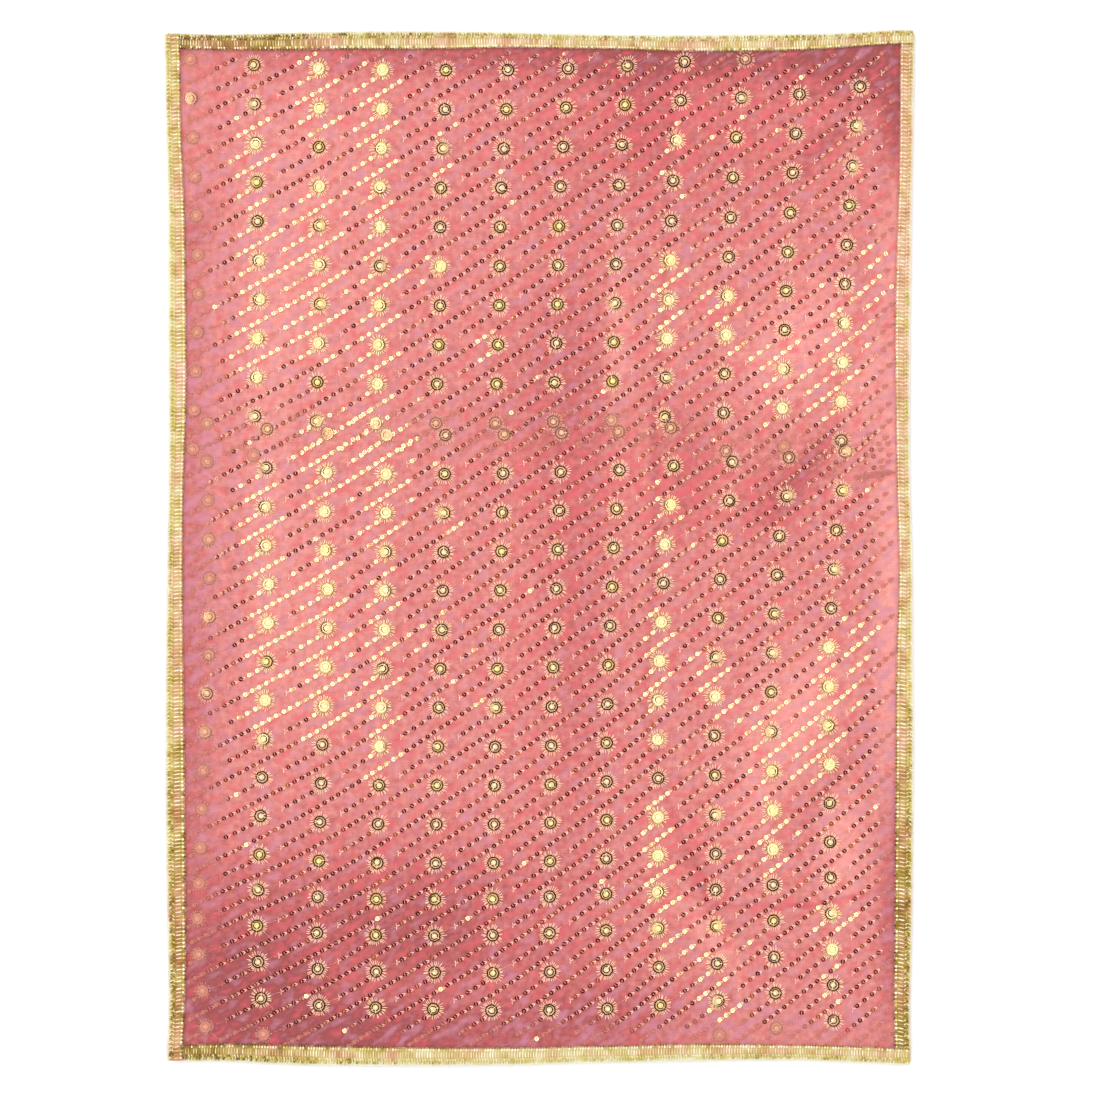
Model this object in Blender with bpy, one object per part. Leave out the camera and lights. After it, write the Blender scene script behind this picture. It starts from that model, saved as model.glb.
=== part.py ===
"""A small chunri: one rectangle of sheer coral-pink cloth, laid out flat, edged with gold lace tape.

Metres, +Z up. The origin is the middle of the laid cloth, on the surface that it rests on. +X is to
the right and +Y runs towards the top edge.

The cloth and the tapes are worked out in the flat cut first, as a distance across from the left edge
and a distance along from the bottom edge. The function laid() then gives the place of such a point
once the cloth lies on its surface, where its edges draw in a little and it rises in soft folds.
"""

import bmesh
import bpy
import numpy as np

MM = 0.001

# The cut, with its lace
WIDTH = 445 * MM
LENGTH = 614 * MM

# The cloth, as a wall
CLOTH_THICK = 1.2 * MM
GRID_ACROSS = 12 * MM
GRID_ALONG = 22 * MM

# The lace tape: a thin band with a raised cord along each edge
TAPE_WIDTH = 9.6 * MM
TAPE_OVERHANG = 1.0 * MM
BAND_THICK = 0.7 * MM
CORD_THICK = 1.2 * MM
CORD_WIDTH = 2.0 * MM

# Seams and corner laps
SEAM_GAP = 0.3 * MM
TUCK = 1.5 * MM
LAP_END = TAPE_WIDTH + SEAM_GAP
RAMP_FOOT = 15.2 * MM

# How far each edge draws in from the rectangle. Rows: place along the edge from its middle, pull (mm)
EDGE_PULL = {
    "left": (
        (-307, 1.9), (-266, 2.6), (-206, 1.5), (-147, 0.7), (-88, 0.6), (-28, 1.4),
        (31, 2.3), (91, 2.6), (150, 2.2), (209, 2.0), (269, 0.5), (307, 0.0),
    ),
    "right": (
        (-307, 2.3), (-266, 2.6), (-236, 1.8), (-177, 1.1), (-117, 0.6), (-58, 1.1),
        (1, 1.5), (31, 2.5), (91, 2.8), (150, 2.3), (209, 1.5), (269, 0.5), (307, 0.0),
    ),
    "bottom": (
        (-222, 2.4), (-187, 2.2), (-160, 0.9), (-133, 0.1), (-100, 0.0), (-53, 0.0), (-26, 0.0),
        (0, 0.2), (27, 1.0), (54, 1.4), (80, 1.9), (134, 2.6), (161, 2.5), (187, 1.4), (222, 0.1),
    ),
    "top": (
        (-222, 1.7), (-187, 2.4), (-160, 1.8), (-120, 0.8), (-66, 0.6), (-13, 1.2),
        (27, 2.4), (80, 2.8), (134, 2.4), (161, 2.1), (187, 1.2), (208, 0.0), (222, 0.0),
    ),
}

# The largest folds, as soft ridges. Places are from the middle of the cloth (mm), and the heading
# is the angle of the ridge's crest from +X (degrees)
FOLD_COLUMNS = ("x", "y", "heading", "reach", "half_width", "height")
FOLDS = (
    (-193, 2, 97, 95, 22, 1.8),
    (83, 183, 87, 128, 20, 2.0),
    (76, -8, 88, 112, 18, 1.8),
    (89, -159, 108, 86, 22, 2.2),
    (105, -239, 126, 62, 24, 2.2),
    (170, 240, 41, 60, 20, 1.6),
    (159, 110, 58, 88, 32, 3.0),
    (168, 54, 51, 62, 24, 2.2),
    (160, -112, 61, 104, 30, 2.8),
)

# Near the border the tape weighs the cloth down, so folds keep only a share of their height there
BORDER_SHARE = 0.3
BORDER_REACH = 32 * MM

# Tapes. Rows: node, the edge it is sewn along, whether its first and its last end laps over the
# tape it crosses. A tape's first end is at the left or at the bottom
TAPES = (
    ("lace_left", "left", True, True),
    ("lace_top", "top", False, True),
    ("lace_right", "right", False, False),
    ("lace_bottom", "bottom", False, True),
)

CLOTH_COLOUR = (0.807, 0.223, 0.262, 1.0)
CLOTH_ROUGHNESS = 0.7
LACE_COLOUR = (0.745, 0.527, 0.168, 1.0)
LACE_ROUGHNESS = 0.38
LACE_METALLIC = 0.6


def smooth_rows(rows, at):
    """Reads a table of (place, value) rows in mm with a smooth curve through them, as metres."""
    places, values = np.array(rows, float).T * MM
    slopes = np.gradient(values, places)
    at = np.clip(at, places[0], places[-1])
    i = np.clip(np.searchsorted(places, at) - 1, 0, len(places) - 2)
    step = places[i + 1] - places[i]
    t = (at - places[i]) / step
    return (
        values[i] * (1 + 2 * t) * (1 - t) ** 2
        + slopes[i] * step * t * (1 - t) ** 2
        + values[i + 1] * t * t * (3 - 2 * t)
        + slopes[i + 1] * step * t * t * (t - 1)
    )


def bump(distance, reach):
    """1 at distance 0, falling as a squared cosine to 0 at reach, and 0 beyond it."""
    return np.cos(0.5 * np.pi * np.clip(distance / reach, -1, 1)) ** 2


def lift(across, along):
    """Height of the cloth's underside above the surface: the largest of the folds at that point."""
    x, y = across - WIDTH / 2, along - LENGTH / 2
    height = np.zeros(np.broadcast(x, y).shape)
    for row in FOLDS:
        fold = dict(zip(FOLD_COLUMNS, row))
        turn = np.radians(fold["heading"])
        from_x, from_y = x - fold["x"] * MM, y - fold["y"] * MM
        down = from_x * np.cos(turn) + from_y * np.sin(turn)
        aside = from_y * np.cos(turn) - from_x * np.sin(turn)
        ridge = bump(down, fold["reach"] * MM) * bump(aside, fold["half_width"] * MM)
        height = np.maximum(height, fold["height"] * MM * ridge)
    edge = np.minimum(
        np.minimum(across, WIDTH - across), np.minimum(along, LENGTH - along)
    )
    inside = np.clip(edge / BORDER_REACH, 0, 1)
    return height * (BORDER_SHARE + (1 - BORDER_SHARE) * inside * inside * (3 - 2 * inside))


def laid(across, along, above):
    """Place of a point of the cut, at a height above the cloth's underside, once it is laid out."""
    across, along, above = np.broadcast_arrays(across, along, above)
    x, y = across - WIDTH / 2, along - LENGTH / 2
    pull = {edge: smooth_rows(EDGE_PULL[edge], y) for edge in ("left", "right")}
    pull |= {edge: smooth_rows(EDGE_PULL[edge], x) for edge in ("bottom", "top")}
    right_share, top_share = across / WIDTH, along / LENGTH
    return np.stack(
        [
            x + pull["left"] * (1 - right_share) - pull["right"] * right_share,
            y + pull["bottom"] * (1 - top_share) - pull["top"] * top_share,
            lift(across, along) + above,
        ],
        axis=-1,
    )


def grid_lines(size, pitch):
    """Lines across the cut: the cloth's edge, the tape's inner edge, the foot of a lap's ramp, and
    even steps between, so that the tapes bend where the cloth does."""
    first = [TAPE_OVERHANG, TAPE_WIDTH, RAMP_FOOT]
    steps = round((size - 2 * RAMP_FOOT) / pitch)
    inner = np.linspace(RAMP_FOOT, size - RAMP_FOOT, steps + 1)[1:-1]
    return np.concatenate([first, inner, [size - place for place in reversed(first)]])


def add_piece(name, points, faces, material):
    """Adds one closed piece, with its faces turned outwards."""
    mesh = bpy.data.meshes.new(name)
    mesh.from_pydata(points.reshape(-1, 3).tolist(), [], faces)
    solid = bmesh.new()
    solid.from_mesh(mesh)
    bmesh.ops.triangulate(solid, faces=solid.faces, quad_method="FIXED")
    bmesh.ops.recalc_face_normals(solid, faces=solid.faces)
    solid.to_mesh(mesh)
    solid.free()
    mesh.shade_smooth()
    mesh.set_sharp_from_angle(angle=np.radians(35))
    mesh.materials.append(material)
    piece = bpy.data.objects.new(name, mesh)
    bpy.context.scene.collection.objects.link(piece)
    return piece


def wall_faces(columns, rows):
    """Faces of a wall whose points are two grids, the lower one first, joined all round."""
    layer = columns * rows

    def at(column, row, top):
        return top * layer + column * rows + row

    faces = []
    for i in range(columns - 1):
        for j in range(rows - 1):
            for top in (0, 1):
                faces.append(
                    (at(i, j, top), at(i + 1, j, top), at(i + 1, j + 1, top), at(i, j + 1, top))
                )
    rim = [(i, 0) for i in range(columns - 1)]
    rim += [(columns - 1, j) for j in range(rows - 1)]
    rim += [(i, rows - 1) for i in range(columns - 1, 0, -1)]
    rim += [(0, j) for j in range(rows - 1, 0, -1)]
    for (i, j), (k, m) in zip(rim, rim[1:] + rim[:1]):
        faces.append((at(i, j, 0), at(k, m, 0), at(k, m, 1), at(i, j, 1)))
    return faces


def tube_faces(stations, sides):
    """Faces of a closed tube whose points are one ring of sides for each station."""
    faces = []
    for i in range(stations - 1):
        for j in range(sides):
            k = (j + 1) % sides
            faces.append(
                (i * sides + j, i * sides + k, (i + 1) * sides + k, (i + 1) * sides + j)
            )
    faces.append(tuple(range(sides)))
    faces.append(tuple((stations - 1) * sides + j for j in range(sides)))
    return faces


def make_cloth(material):
    """The one cut panel: a wall of even thickness that follows the folds."""
    across = grid_lines(WIDTH, GRID_ACROSS)[:, None]
    along = grid_lines(LENGTH, GRID_ALONG)[None, :]
    points = np.stack([laid(across, along, height) for height in (0.0, CLOTH_THICK)])
    faces = wall_faces(across.shape[0], along.shape[1])
    return add_piece("cloth_panel", points, faces, material)


def tape_section():
    """The tape's section as (distance in from its outer edge, height above its underside)."""
    crest, foot = CORD_WIDTH / 2, CORD_WIDTH
    shoulder = BAND_THICK
    return np.array(
        [
            (0.0, 0.0),
            (TAPE_WIDTH, 0.0),
            (TAPE_WIDTH, shoulder),
            (TAPE_WIDTH - crest, CORD_THICK),
            (TAPE_WIDTH - foot, shoulder),
            (foot, shoulder),
            (crest, CORD_THICK),
            (0.0, shoulder),
        ]
    )


def tape_stations(size, pitch, first_over, last_over):
    """Places along a tape where it bends, and how far it is raised there to lap over a tape."""
    rise = CORD_THICK + SEAM_GAP
    places = grid_lines(size, pitch)[2:-2]
    raised = np.zeros(len(places))

    def end(over):
        return ([0.0, LAP_END], [rise, rise]) if over else ([TUCK, TAPE_WIDTH], [0.0, 0.0])

    head, head_rise = end(first_over)
    tail, tail_rise = end(last_over)
    places = np.concatenate([head, places, [size - place for place in reversed(tail)]])
    return places, np.concatenate([head_rise, raised, tail_rise[::-1]])


def make_tape(name, edge, first_over, last_over, material):
    """One tape, sewn on the cloth along one edge."""
    upright = edge in ("left", "right")
    size, pitch = (LENGTH, GRID_ALONG) if upright else (WIDTH, GRID_ACROSS)
    places, raised = tape_stations(size, pitch, first_over, last_over)
    inward, height = tape_section().T
    inward = inward[None, :] + np.zeros((len(places), 1))
    places = places[:, None] + np.zeros_like(inward)
    above = CLOTH_THICK + SEAM_GAP + raised[:, None] + height[None, :]
    if edge in ("right", "top"):
        inward = (WIDTH if upright else LENGTH) - inward
    across, along = (inward, places) if upright else (places, inward)
    points = laid(across, along, above)
    faces = tube_faces(*points.shape[:2])
    return add_piece(name, points, faces, material)


def make_material(name, colour, roughness, metallic):
    """One Principled material."""
    material = bpy.data.materials.new(name)
    material.use_nodes = True
    shader = material.node_tree.nodes["Principled BSDF"]
    shader.inputs["Base Color"].default_value = colour
    shader.inputs["Roughness"].default_value = roughness
    shader.inputs["Metallic"].default_value = metallic
    return material


def main():
    for old in list(bpy.data.objects):
        bpy.data.objects.remove(old, do_unlink=True)
    make_cloth(make_material("coral_cloth", CLOTH_COLOUR, CLOTH_ROUGHNESS, 0.0))
    for name, edge, first_over, last_over in TAPES:
        material = make_material(name + "_gold", LACE_COLOUR, LACE_ROUGHNESS, LACE_METALLIC)
        make_tape(name, edge, first_over, last_over, material)


main()
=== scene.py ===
"""Looks of a small chunri laid out flat: sheer coral georgette, sequin and thread work, gold lace.

Metres, +Z up. x and y are places on the flat cut, from its middle, and laid() gives where such a
point lies. So every piece is first worked out on the cut, or along a tape, and then laid with it.
"""

from functools import partial

import bpy
import numpy as np
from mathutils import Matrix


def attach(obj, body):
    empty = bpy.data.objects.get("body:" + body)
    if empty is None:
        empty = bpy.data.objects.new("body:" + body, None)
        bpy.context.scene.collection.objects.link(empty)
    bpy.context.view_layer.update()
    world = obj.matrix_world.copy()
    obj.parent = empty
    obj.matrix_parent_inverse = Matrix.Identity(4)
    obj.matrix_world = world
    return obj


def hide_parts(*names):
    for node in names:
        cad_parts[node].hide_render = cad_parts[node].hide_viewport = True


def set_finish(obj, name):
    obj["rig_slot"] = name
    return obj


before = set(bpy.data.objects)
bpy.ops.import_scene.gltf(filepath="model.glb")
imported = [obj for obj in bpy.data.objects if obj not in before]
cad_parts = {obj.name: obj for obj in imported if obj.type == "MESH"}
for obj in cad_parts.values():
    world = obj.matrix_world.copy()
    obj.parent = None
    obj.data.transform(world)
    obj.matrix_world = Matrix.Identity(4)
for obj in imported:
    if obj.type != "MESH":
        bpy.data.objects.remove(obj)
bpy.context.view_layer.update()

MM = 0.001
rng = np.random.default_rng(11)

# The cut with its lace, and the cloth's own edge inside it
WIDTH = 445 * MM
LENGTH = 614 * MM
TAPE_OVERHANG = 1.0 * MM

# Heights above the cloth's underside. The shell lies inside the solid's wall, and the tapes on it
SHELL_FOOT = 0.1 * MM
SHELL_TOP = 1.1 * MM
TAPE_FOOT = 1.5 * MM
LAP_RISE = 1.5 * MM

# The tape's width, and where a lapped end starts and ends its slope
TAPE_WIDTH = 9.6 * MM
TUCK = 1.5 * MM
LAP_END = 9.9 * MM
RAMP_FOOT = 15.2 * MM

# How far each edge draws in, or bulges out with a minus. Rows: mm along it from its middle, mm
EDGE_PULL = {
    "left": (
        (-307, 1.9), (-266, 2.6), (-206, 1.5), (-147, 0.7), (-88, 0.6), (-28, 1.4),
        (31, 2.3), (91, 2.6), (150, 2.2), (209, 2.0), (269, 0.5), (307, 0.0),
    ),
    "right": (
        (-307, 2.3), (-266, 2.6), (-236, 1.8), (-177, 1.1), (-117, 0.6), (-58, 1.1),
        (1, 1.5), (31, 2.5), (91, 2.8), (150, 2.3), (209, 1.5), (269, 0.5), (307, 0.0),
    ),
    "bottom": (
        (-222, 2.4), (-187, 2.1), (-160, 0.6), (-133, -0.4), (-100, -0.7), (-53, -0.7), (-26, -0.4),
        (0, 0.1), (27, 1.0), (54, 1.4), (80, 1.9), (134, 2.6), (161, 2.5), (187, 1.4), (222, 0.1),
    ),
    "top": (
        (-222, 1.7), (-187, 2.4), (-160, 1.8), (-120, 0.8), (-66, 0.6), (-13, 1.2),
        (27, 2.4), (80, 2.8), (134, 2.4), (161, 2.1), (187, 1.2), (208, 0.0), (222, 0.0),
    ),
}

# The largest folds, which the solid has too. Rows: a soft oval, which is x, y, heading, reach and
# half width (mm, degrees), and height (mm)
FOLDS = (
    (-193, 2, 97, 95, 22, 1.8),
    (83, 183, 87, 128, 20, 2.0),
    (76, -8, 88, 112, 18, 1.8),
    (89, -159, 108, 86, 22, 2.2),
    (105, -239, 126, 62, 24, 2.2),
    (170, 240, 41, 60, 20, 1.6),
    (159, 110, 58, 88, 32, 3.0),
    (168, 54, 51, 62, 24, 2.2),
    (160, -112, 61, 104, 30, 2.8),
)
BORDER_SHARE = 0.3
BORDER_REACH = 32 * MM

# Fine creases: height (mm), half width (mm), and the points that the crease runs through (mm)
CREASES = (
    (0.8, 5.0, ((79, 290), (73, 147), (69, 76), (69, -7), (63, -91), (75, -150), (104, -215))),
    (0.6, 7.0, ((72, -192), (95, -240), (137, -281))),
    (0.5, 6.0, ((-211, 88), (-187, 28), (-187, -85))),
    (0.6, 6.0, ((205, 102), (168, 60), (131, 10))),
    (0.5, 5.0, ((190, -114), (170, -148), (149, -180))),
    (0.5, 6.0, ((202, 269), (168, 240), (137, 212))),
    (0.5, 1.9, ((103, -215), (143, -216), (163, -214), (182, -210), (203, -206))),
    (0.4, 8.0, ((48, 190), (47, 130), (44, 70))),
    (0.3, 7.0, ((-60, 280), (-66, 150), (-62, 30))),
    (0.3, 8.0, ((-8, 250), (-14, 90), (-9, -60), (-15, -220))),
    (0.3, 7.0, ((-70, -30), (-64, -150), (-84, -260))),
)

# Light and dark of the cloth: partly its own uneven tone, and partly painted shade and light. Rows: soft
# oval, shade. Shade 1 is the deep coral of the corners
# The painted shade darkens folds, creases and corners, and the painted light pales the cloth where light
# falls and where the sequins glint
TONE_AND_PAINTED_SHADE = (
    (21, 0, 90, 330, 36, 0.30),
    (60, 265, 90, 60, 30, 0.30),
    (88, 45, 90, 70, 30, 0.35),
    (48, 127, 90, 65, 12, -0.45),
    (155, 123, 60, 60, 45, -0.50),
    (192, 88, 75, 60, 16, -0.45),
    (149, -102, 60, 75, 45, -0.50),
    (181, -180, 90, 60, 22, -0.60),
    (168, 57, 51, 62, 12, 0.45),
    (143, 34, 35, 55, 22, 0.35),
    (170, -147, 57, 42, 7, 0.35),
    (170, 241, 41, 50, 14, 0.45),
    (208, 290, 0, 80, 40, 1.10),
    (0, 300, 0, 330, 26, 0.55),
    (120, 300, 0, 130, 24, 0.35),
    (-213, 0, 90, 330, 22, 0.35),
    (-172, -268, -20, 90, 55, 1.30),
    (-60, -292, 0, 190, 45, 0.80),
    (-90, -225, 10, 110, 45, 0.35),
    (40, -275, 0, 90, 35, 0.40),
    (104, -236, -54, 55, 10, -0.50),
    (97, -200, -65, 40, 9, 0.40),
    (210, -210, 90, 110, 12, 0.70),
    (-140, 160, 90, 150, 70, -0.20),
    (-135, -40, 90, 120, 60, -0.20),
    (-205, 190, 60, 35, 16, 0.30),
    (80, 250, 0, 170, 90, 0.30),
    (120, 292, 0, 140, 30, 0.25),
    (211, 254, 90, 40, 15, 0.95),
    (3, 90, 90, 110, 60, 0.25),
    (-100, -215, 0, 190, 80, 0.35),
    (-70, -250, 20, 60, 40, 0.25),
    (-185, -285, 0, 60, 35, 0.40),
    (-185, -210, 0, 70, 40, 0.20),
    (211, -20, 90, 260, 18, -0.25),
    (-204, -130, 90, 170, 22, 0.25),
    (145, 20, 60, 40, 25, 0.25),
    (0, 290, 0, 230, 26, 0.30),
    (-120, -284, 0, 110, 22, 0.40),
    (-10, -245, 0, 110, 26, 0.25),
    (211, -60, 90, 230, 18, -0.25),
    (128, -155, 60, 40, 22, -0.30),
    (-163, 60, 90, 210, 22, -0.25),
    (-80, -215, 0, 200, 60, 0.14),
    (-165, -250, 90, 60, 40, 0.15),
    (211, 40, 90, 200, 12, -0.25),
    (211, 180, 90, 50, 14, -0.3),
    (-140, 240, 0, 60, 60, -0.1),
)
SHADE_LEVEL = 0.17
SHADE_GAIN = 0.42

# Where the coral is fuller, or greyer with a minus. Rows: soft oval, how much
HUES = (
    (90, 254, 0, 150, 50, 0.8),
    (70, 40, 0, 160, 50, 0.7),
    (85, -180, 90, 60, 40, 0.6),
    (0, -60, 90, 120, 40, 0.4),
    (-206, 0, 90, 320, 30, -0.8),
    (-165, 200, 90, 100, 30, -0.4),
    (211, -60, 90, 280, 22, -0.7),
    (60, -285, 0, 190, 30, -0.6),
    (-163, 60, 90, 210, 25, -0.4),
    (-163, -190, 90, 60, 30, -0.4),
)
# Painted shade that two of the creases add, and how much fuller the coral is along them. Rows: number in
# CREASES, shade, how much fuller
CREASE_PAINTED_SHADE = ((0, 0.35, 0.0), (6, 0.9, 2.5))
# The painted shade of a small pucker beside each rosette: soft oval from the rosette's middle, shade
PUCKER_PAINTED_SHADE = (7.5, 0.6, 10, 6.5, 4.2, 0.26)

# The pattern's lattice, in an upper part, 0, and a lower part, 1. Its first and last columns lean
# as these do, part by part. Rows: y, x (mm)
FIRST_COLUMN = (
    ((50, -170.5), (97, -169), (147, -167), (192, -168), (300, -169)),
    ((-290, -164), (-248, -168), (-187, -166), (-114, -163), (-55, -161), (47, -162.5)),
)
LAST_COLUMN = (
    ((40, 179), (89, 180), (181, 183), (227, 186), (300, 193)),
    ((-281, 175), (-239, 173), (-151, 171), (-106, 170), (-12, 175), (57, 182)),
)
LAST = 10
COLUMN_BOW = 0.04
# How far each column stands to the right of its even place (mm)
COLUMN_SHIFTS = (-1.2, -0.7, -0.6, -0.2, 0.2, 0.1, 0.0, -2.5, -1.3, 0.0, 1.7)
# By part, rows: row number, y in the middle columns (mm)
ROW_PLACES = (((-3, 354), (11, 27.8)), ((8, 90.5), (20, -186.8), (27, -337)))
# How far a row rises at the sides. Rows: x, rise (mm)
ROW_RISE = (
    (-222, 9), (-168, 4.2), (-131, 1.2), (-60, 0), (-25, 0.3), (14, 1.6),
    (50, 2.6), (82, 4.8), (118, 6.8), (154, 9.6), (190, 13.6), (222, 18),
)

# Along this seam the cloth is doubled, and each part shows faintly through the other. Rows: x, y,
# how far before it a part starts to fade, where beyond it is faintest, and how soon it ends (mm)
SEAM = ((-222, 68), (85, 71), (108, 56), (222, 54))
SEAM_FADE = 21
SEAM_END = -15
SEAM_GONE = 2

# Where the pattern is drawn aside. Rows: soft oval, how far to the right, how far up (mm)
DRIFTS = (
    (-30, 275, 0, 190, 75, 2.4, 0.0),
    (80, 270, 0, 110, 90, 0.0, 2.4),
    (120, 40, 0, 130, 34, 4.0, 0.8),
    (-150, 15, 0, 60, 45, -2.2, 0.0),
    (120, -200, 90, 160, 90, 0.0, -2.6),
    (10, -120, 90, 130, 70, 0.0, -1.3),
    (50, -275, 0, 150, 60, 0.0, -4.6),
    (105, 290, 0, 60, 55, 2.2, 0.0),
    (-50, -285, 0, 150, 42, -3.6, 0.0),
)

# Lines of sequins, in steps of the lattice
LINE_HEADING = 33
LONG_LINE_LIFT = 0.434
LONG_LINE_PITCH = 0.117
SHORT_LINE = (0.4376, 0.5726, 0.7077, 0.8427)
SHORT_LINE_DROP = 0.1
LINE_STRAY = 0.004

# Profiles of what is sewn on, from the top of the middle to the foot. Rows: radius, height (mm), and
# how much of that ring is bare film: 1 is a mirror, 0.5 a satin band, and 0 lies under thread
SMALL_SEQUIN = (
    (0.0, 0.16, 0.0), (0.46, 0.08, 0.2), (0.46, 0.14, 1.0), (1.34, 0.13, 1.0), (0.0, 0.0, 1.0),
)
LOWER_SEQUIN = (
    (0.0, 0.17, 0.5), (2.96, 0.18, 0.5), (2.96, 0.24, 1.0), (3.70, 0.222, 1.0), (0.0, 0.0, 1.0),
)
UPPER_SEQUIN = (
    (0.0, 0.40, 0.3), (1.62, 0.41, 0.3), (1.62, 0.47, 1.0), (2.26, 0.45, 1.0), (0.0, 0.28, 1.0),
)
KNOT = ((0.0, 0.85, 0.0), (0.5, 0.78, 0.0), (0.8, 0.60, 0.0), (0.75, 0.42, 0.0), (0.0, 0.42, 0.0))
SEQUIN_OUTER = 1.34 * MM
SEQUIN_SIDES = 10
ROSETTE_OUTER = 3.7 * MM
ROSETTE_SIDES = 14
KNOT_SIDES = 8
# How high a sequin sits off the cloth, and how many of its radii it keeps from the tapes
SEQUIN_CLEARANCE = 0.12 * MM
KEEP_OFF = 1.2
# The rays of a rosette: how many, where they start from its middle and how long they are, both as
# mean and spread (mm)
RAYS = 28
RAY_START = (3.5, 0.15)
RAY_REACH = (2.95, 0.45)

# The hems, where a second layer of cloth veils the sequins. Rows: edge, where it starts to and
# where it fully does (mm)
VEILS = {"left": (-186, -202), "right": (198, 206), "top": (286, 297), "bottom": (-278, -291)}

# Where the sequins catch the light. Rows: column and row of the middle of a soft oval, the rest of
# the oval, and the share that do. The first ones come again some rows further down
GLINTS_TWICE = (
    (1.00, 0.65, 90, 35, 18, 1),
    (1.95, 1.55, 90, 54, 18, 1),
    (2.00, 5.90, 90, 86, 14, 0.95),
    (-0.05, 2.60, 90, 37, 16, 1),
    (0.00, 5.95, 90, 59, 17, 1),
    (0.97, 5.30, 90, 69, 20, 1),
    (0.55, 5.50, 90, 54, 18, 0.79),
    (0.70, 7.20, 0, 50, 12, 0.79),
    (2.50, 5.20, 20, 28, 10, 0.63),
    (3.00, 2.35, 90, 19, 13, 0.42),
    (3.90, 7.00, 0, 15, 9, 0.53),
    (7.00, 5.90, 90, 37, 12, 1),
    (7.00, 2.50, 90, 32, 10, 0.47),
    (8.05, 6.80, -70, 33, 13, 0.89),
    (9.00, 8.00, 20, 19, 20, 0.89),
    (8.85, 8.85, 30, 17, 14, 0.63),
    (10.30, 6.30, 65, 39, 16, 0.84),
    (10.05, 7.60, 70, 35, 17, 1),
    (9.85, 8.80, 50, 22, 17, 0.84),
)
REPEAT_ROWS = 9
GLINTS_ONCE = (
    (9.00, 19.8, 90, 32, 12, 0.95),
    (7.00, 19.6, 90, 39, 12, 1),
    (7.10, 21.0, -75, 26, 12, 1),
    (7.55, 22.9, -50, 37, 14, 0.79),
    (8.00, 24.1, -30, 15, 12, 0.95),
    (10.05, 22.2, 0, 18, 10, 1),
    (1.40, 9.5, 33, 45, 29, 0.95),
    (10.00, 23.5, 90, 26, 9, 0.32),
)
STRAY_GLINTS = 0.01
# How much of a veil a glint takes away, so that a lit piece is less dulled: its clearer colour is painted
# light
GLINT_CLEARS = 0.4

# The tapes. Rows: node, edge, whether its first and its last end laps over the tape it crosses
TAPES = (
    ("lace_left", "left", True, True),
    ("lace_top", "top", False, True),
    ("lace_right", "right", False, False),
    ("lace_bottom", "bottom", False, True),
)
SIDE_PITCH = 2.29 * MM
END_PITCH = 1.63 * MM
# How worn a tape looks, with its painted gleam, from pale and even at 0 to dark and uneven at 2, and
# how rosy it is. Rows: edge, then (mm from its middle, worn, rosy)
TAPE_DRIFTS = {
    "left": (
        (-300, 1.0, 0.04), (-230, 1.0, 0.0), (-170, 0.8, 0.0), (-100, 0.45, 0.0), (-40, 0.35, 0.02),
        (50, 0.15, -0.02), (190, 0.1, 0.0), (290, 0.3, 0.0),
    ),
    "top": (
        (-210, 2.2, 0.06), (-170, 2.0, 0.06), (-120, 1.1, 0.04), (-60, 0.7, 0.02), (50, 0.6, 0.0),
        (210, 0.8, 0.0),
    ),
    "right": (
        (-300, 1.1, 0.02), (-200, 1.2, -0.02), (-100, 0.45, 0.0), (-40, 0.15, 0.02),
        (80, 0.1, 0.10), (200, 0.1, 0.22), (290, 0.2, 0.14),
    ),
    "bottom": (
        (-210, 1.7, -0.02), (-150, 0.9, -0.04), (-60, 0.3, -0.10), (30, 0.3, -0.10), (210, 0.5, -0.04),
    ),
}
# How wide a tape lies. Rows: edge, then (mm from its middle, mm to the inner side of its knots)
TAPE_WIDTHS = {
    "left": (
        (-290, 9.0), (-245, 10.3), (-67, 10.3), (-31, 9.3), (40, 8.8), (76, 9.9), (183, 10.0),
        (254, 8.7), (290, 9.0),
    ),
    "top": (
        (-202, 9.1), (-130, 10.4), (-59, 10.5), (-23, 9.4), (12, 8.7), (48, 8.6), (83, 9.8),
        (155, 9.6), (190, 8.4),
    ),
    "right": (
        (-290, 9.5), (-245, 10.1), (-174, 10.5), (-67, 9.6), (-31, 8.2), (40, 7.8), (147, 9.0),
        (183, 8.5), (218, 7.8), (290, 8.2),
    ),
    "bottom": (
        (-202, 9.6), (-166, 11.1), (-59, 10.8), (-23, 10.4), (48, 10.0), (83, 10.3), (119, 9.7),
        (155, 9.2), (190, 9.6),
    ),
}
TAPE_PLAN_WIDTH = 8.85 * MM

# Strands of a tape. Rows: mm in at its start and end, pitches along there, radius, arch, height (mm)
EDGE_LOOPS = ((0.7, -0.15, -0.3, 0.0, 0.24, 0.2, 0.3), (-0.15, 0.7, 0.0, 0.3, 0.24, 0.2, 0.3))
CHEVRONS = ((0.5, 2.1, 0.0, 0.5, 0.27, 0.3, 0.5), (2.1, 3.5, 0.5, 0.0, 0.27, 0.3, 0.55))
CROSS_THREADS = ((0.6, 1.9, 1.0, 0.6, 0.24, 0.2, 0.45), (2.3, 3.3, 0.6, 1.0, 0.24, 0.2, 0.45))
PICOTS = ((8.2, 8.9, -0.1, 0.2, 0.19, 0.15, 0.35), (8.9, 8.2, 0.2, 0.5, 0.19, 0.15, 0.3))

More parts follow.
